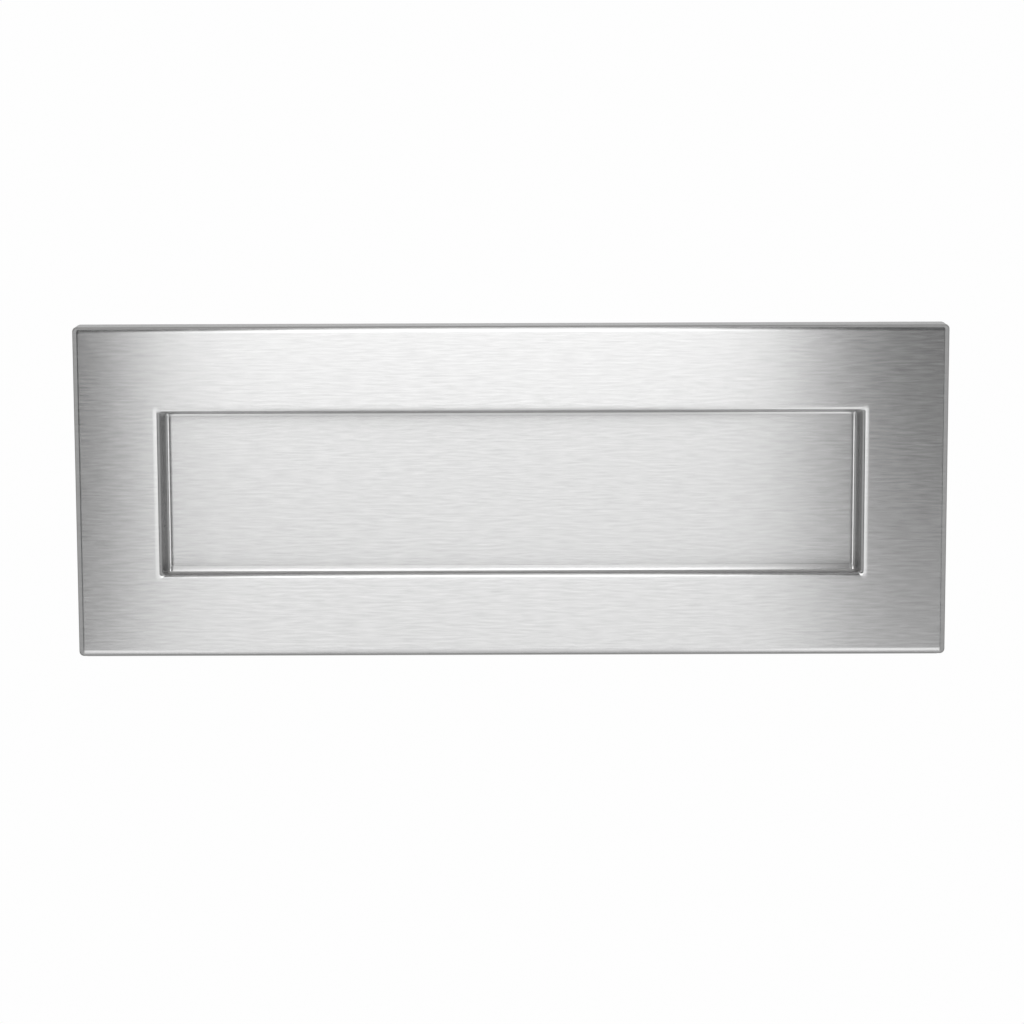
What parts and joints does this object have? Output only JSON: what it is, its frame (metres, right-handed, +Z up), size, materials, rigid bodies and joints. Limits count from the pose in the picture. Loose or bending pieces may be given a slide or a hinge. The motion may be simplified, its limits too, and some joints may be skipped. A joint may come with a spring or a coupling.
{
  "type": "letter plate",
  "caption": "Rectangular letter plate for a door, with a recessed, top-hung sprung flap that opens inward, and studs for through-fixing.",
  "frame": {"origin": "centre of the plate, on the plane where its rim rests on the door", "axes": "+X along the plate's width, to the right as seen from the street; +Y into the door; +Z up"},
  "size_m": [0.265, 0.065, 0.1016],
  "materials": {
    "satin_frame": "satin, brushed along the width",
    "satin_flap": "satin, brushed along the width",
    "hinge_steel": "bright drawn rod",
    "zinc_steel": "zinc plated",
    "spring_steel": "drawn spring wire, lightly oiled",
    "rubber": "moulded, matt",
    "foam": "closed-cell foam strip"
  },
  "bodies": {
    "plate": {"frame": "satin_frame", "door_seal": "foam", "hinge_rod": "hinge_steel", "hinge_bracket_left": "zinc_steel", "bracket_screw_left_inner": "zinc_steel", "bracket_screw_left_outer": "zinc_steel", "rod_clip_left": "spring_steel", "closing_spring_left": "spring_steel", "flap_buffer_left": "rubber", "fixing_stud_left": "zinc_steel", "stud_washer_left": "zinc_steel", "stud_nut_left": "zinc_steel", "hinge_bracket_right": "zinc_steel", "bracket_screw_right_inner": "zinc_steel", "bracket_screw_right_outer": "zinc_steel", "rod_clip_right": "spring_steel", "closing_spring_right": "spring_steel", "flap_buffer_right": "rubber", "fixing_stud_right": "zinc_steel", "stud_washer_right": "zinc_steel", "stud_nut_right": "zinc_steel"},
    "flap": {"flap": "satin_flap"}
  },
  "joints": [
    {"name": "flap_hinge", "type": "hinge", "parent": "plate", "child": "flap", "pos_m": [0, 0.0038, 0.0295], "axis": [1, 0, 0], "range_deg": [0, 85], "stiffness_Nm_per_rad": 0.05, "springref_deg": -68.75, "deforming": ["closing_spring_left", "closing_spring_right"]}
  ]
}
